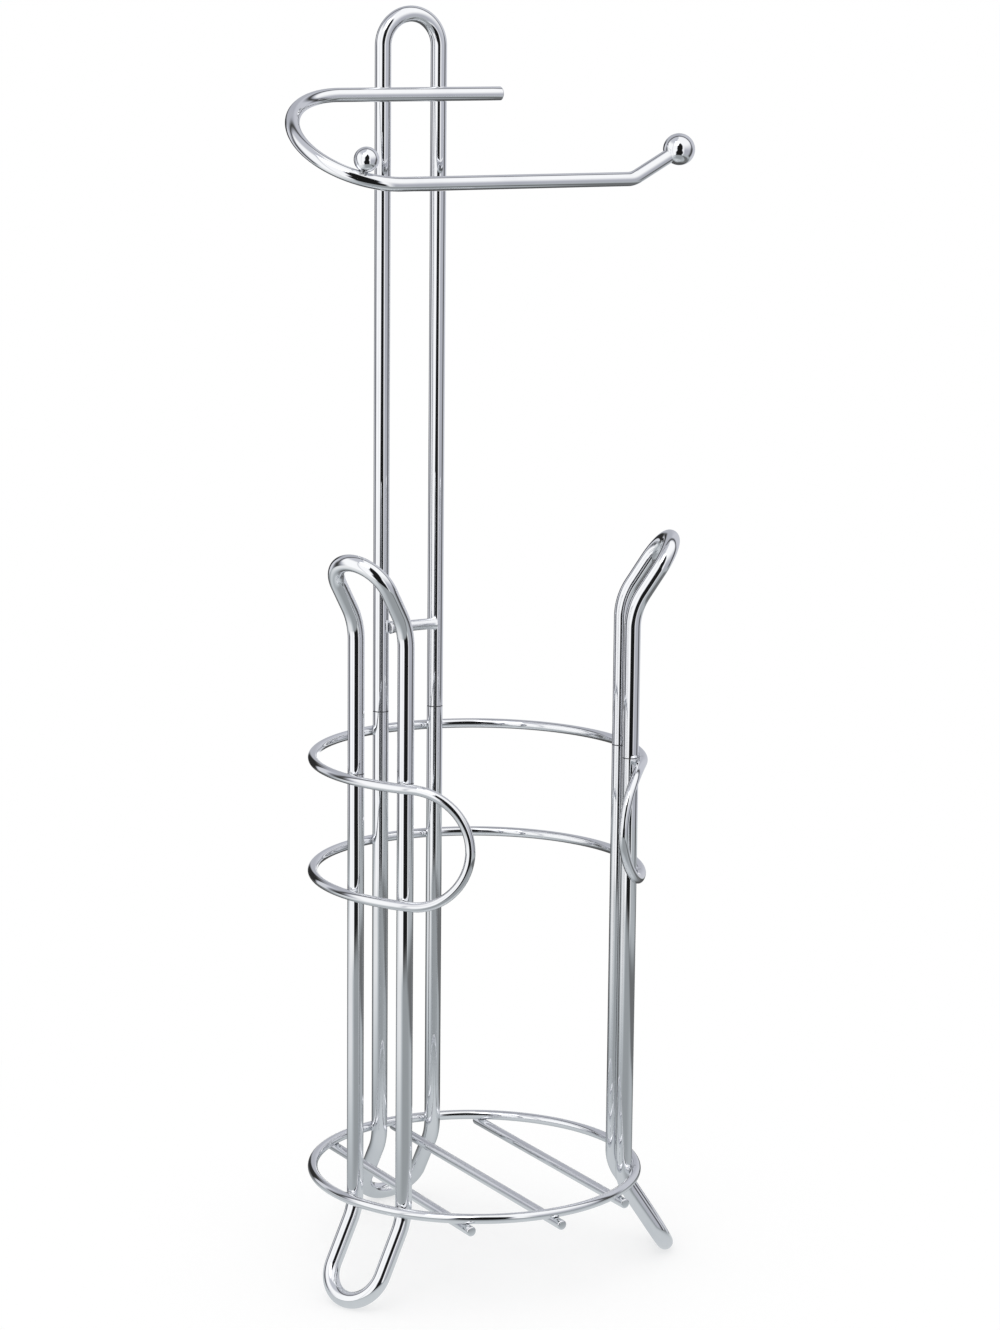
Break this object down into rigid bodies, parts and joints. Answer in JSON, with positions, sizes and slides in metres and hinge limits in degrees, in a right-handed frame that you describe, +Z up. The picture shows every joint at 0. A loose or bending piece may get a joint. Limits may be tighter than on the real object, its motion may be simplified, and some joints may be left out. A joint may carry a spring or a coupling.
{
  "type": "toilet roll storage holder",
  "caption": "Free-standing chrome toilet roll stand: looped legs, a ring base and wrap-round rails cage the spare rolls, and a lift-off pole carries a bent arm for the roll in use.",
  "frame": {"origin": "on the floor, under the middle of the base ring", "axes": "+Z up; -Y towards the open front of the cage; +X towards the balled end of the roll arm"},
  "size_m": [0.2126, 0.1878, 0.614],
  "materials": {
    "tube_chrome": "bright chrome plate on drawn steel tube",
    "wire_chrome": "bright chrome plate on steel wire",
    "ball_chrome": "bright chrome plate on turned steel",
    "pin_steel": "plain turned steel"
  },
  "bodies": {
    "base": {"base_ring": "wire_chrome", "floor_bar_left": "wire_chrome", "floor_bar_middle": "wire_chrome", "floor_bar_right": "wire_chrome", "rail_loop": "wire_chrome", "left_lower_leg": "tube_chrome", "right_lower_leg": "tube_chrome", "rear_lower_leg": "tube_chrome", "left_leg_front_pin": "pin_steel", "left_leg_rear_pin": "pin_steel", "right_leg_front_pin": "pin_steel", "right_leg_rear_pin": "pin_steel", "rear_leg_left_pin": "pin_steel", "rear_leg_right_pin": "pin_steel"},
    "pole": {"rear_pole": "tube_chrome", "pole_crossbar": "wire_chrome", "roll_arm": "wire_chrome", "arm_end_ball": "ball_chrome", "arm_stop_ball": "ball_chrome"},
    "left_loop": {"left_upper_loop": "tube_chrome"},
    "right_loop": {"right_upper_loop": "tube_chrome"}
  },
  "joints": [
    {"name": "pole_lift", "type": "slide", "parent": "base", "child": "pole", "axis": [0, 0, 1], "range_m": [0, 0.02]},
    {"name": "left_loop_lift", "type": "slide", "parent": "base", "child": "left_loop", "axis": [0, 0, 1], "range_m": [0, 0.02]},
    {"name": "right_loop_lift", "type": "slide", "parent": "base", "child": "right_loop", "axis": [0, 0, 1], "range_m": [0, 0.02]}
  ]
}
